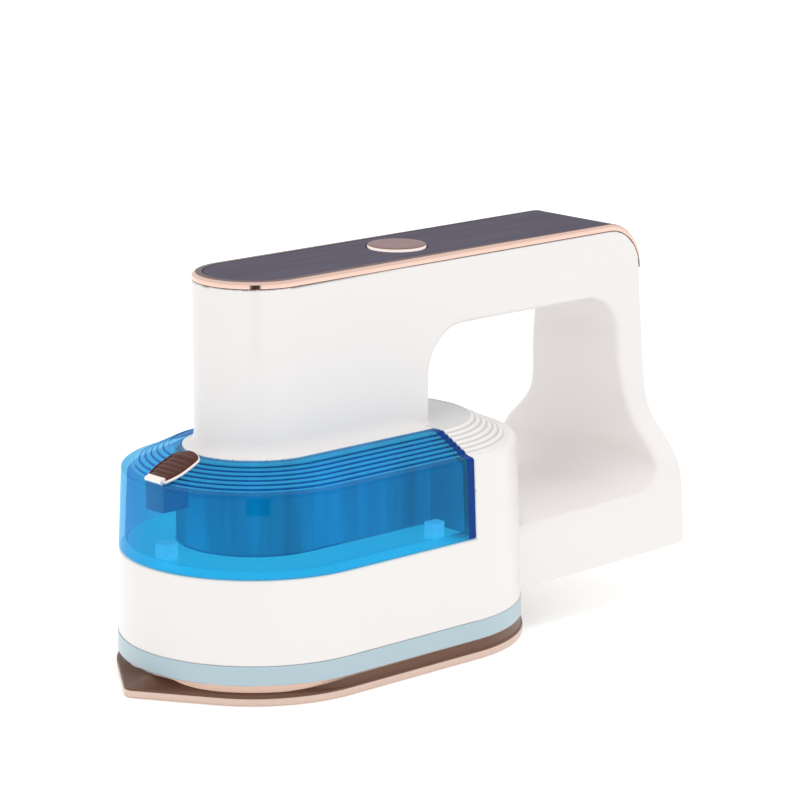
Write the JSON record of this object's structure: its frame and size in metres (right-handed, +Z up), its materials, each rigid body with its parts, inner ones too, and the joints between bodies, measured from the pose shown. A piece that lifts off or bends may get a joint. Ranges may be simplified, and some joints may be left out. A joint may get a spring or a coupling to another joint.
{
  "type": "handheld steam iron",
  "caption": "Small handheld garment steam iron with a pointed heated soleplate, closed loop handle, top steam button and a clear horseshoe water tank with a filler flap.",
  "frame": {"origin": "on the resting plane (underside of the soleplate), in the plane of symmetry, under the common centre of the half-round front walls", "axes": "+X from the nose to the heel, +Z up, +Y to the right of someone looking from the heel towards the nose"},
  "size_m": [0.1898, 0.083, 0.118],
  "materials": {
    "sole_metal": "rose coloured ceramic-coated aluminium",
    "casting": "die-cast",
    "steel": "zinc-plated steel",
    "brass": "turned",
    "seal_rubber": "silicone",
    "dark_rubber": "moulded",
    "hose": "translucent silicone",
    "white_plastic": "glossy moulded",
    "grey_plastic": "pale grey, heat resistant",
    "dark_plastic": "dark glossy panel",
    "black_plastic": "moulded",
    "ceramic": null,
    "board": "glass-fibre board",
    "winding": "enamelled copper winding",
    "wire_brown": "insulated wire",
    "wire_white": "heat-proof sleeved wire",
    "rose_metal": "rose gold, polished",
    "button_metal": "satin rose gold",
    "tank_blue": "transparent blue plastic"
  },
  "bodies": {
    "main_body": {"soleplate": "sole_metal", "heater_casting": "casting", "heating_element": "steel", "element_terminals": "brass", "chamber_gasket": "seal_rubber", "chamber_cover": "steel", "chamber_screws": "steel", "steam_nozzle": "brass", "thermostat": "ceramic", "thermal_fuse": "ceramic", "heat_shield": "grey_plastic", "casting_screws": "steel", "main_housing": "white_plastic", "rear_cover": "white_plastic", "rear_cover_screws": "steel", "power_inlet": "black_plastic", "inlet_pins": "brass", "mains_wires": "wire_brown", "heater_wires": "wire_white", "trim_ring": "rose_metal", "top_panel": "dark_plastic", "button_spring": "steel", "micro_switch": "black_plastic", "control_board": "board", "board_screws": "steel", "pump_body": "ceramic", "pump_coil": "winding", "pump_bracket": "steel", "pump_spring": "steel", "inlet_hose": "hose", "outlet_hose": "hose", "valve_socket": "ceramic", "inlet_needle": "steel"},
    "button": {"steam_button": "button_metal"},
    "switch_pin": {"switch_plunger": "seal_rubber"},
    "pump_piston": {"pump_plunger": "steel"},
    "tank": {"water_tank": "tank_blue", "tank_lid": "tank_blue", "flap_pin": "steel", "spigot_seal": "dark_rubber", "slit_valve": "hose"},
    "flap": {"filler_flap": "button_metal", "filler_plug": "seal_rubber"}
  },
  "joints": [
    {"name": "tank_slide", "type": "slide", "parent": "main_body", "child": "tank", "axis": [-1, 0, 0], "range_m": [0, 0.1]},
    {"name": "flap_hinge", "type": "hinge", "parent": "tank", "child": "flap", "pos_m": [-0.0246, 0, 0.067], "axis": [0, 1, 0], "range_deg": [0, 80]},
    {"name": "button_press", "type": "slide", "parent": "main_body", "child": "button", "axis": [0, 0, -1], "range_m": [0, 0.0015], "stiffness_N_per_m": 900, "springref_m": -0.001, "deforming": ["button_spring"]},
    {"name": "switch_press", "type": "slide", "parent": "main_body", "child": "switch_pin", "axis": [0, 0, -1], "range_m": [0, 0.0015]},
    {"name": "pump_stroke", "type": "slide", "parent": "main_body", "child": "pump_piston", "axis": [0, 0, 1], "range_m": [0, 0.003], "stiffness_N_per_m": 700, "springref_m": -0.001, "deforming": ["pump_spring"]}
  ],
  "couplings": [
    {"joint": "switch_press", "follows": "button_press", "ratio": 1}
  ]
}
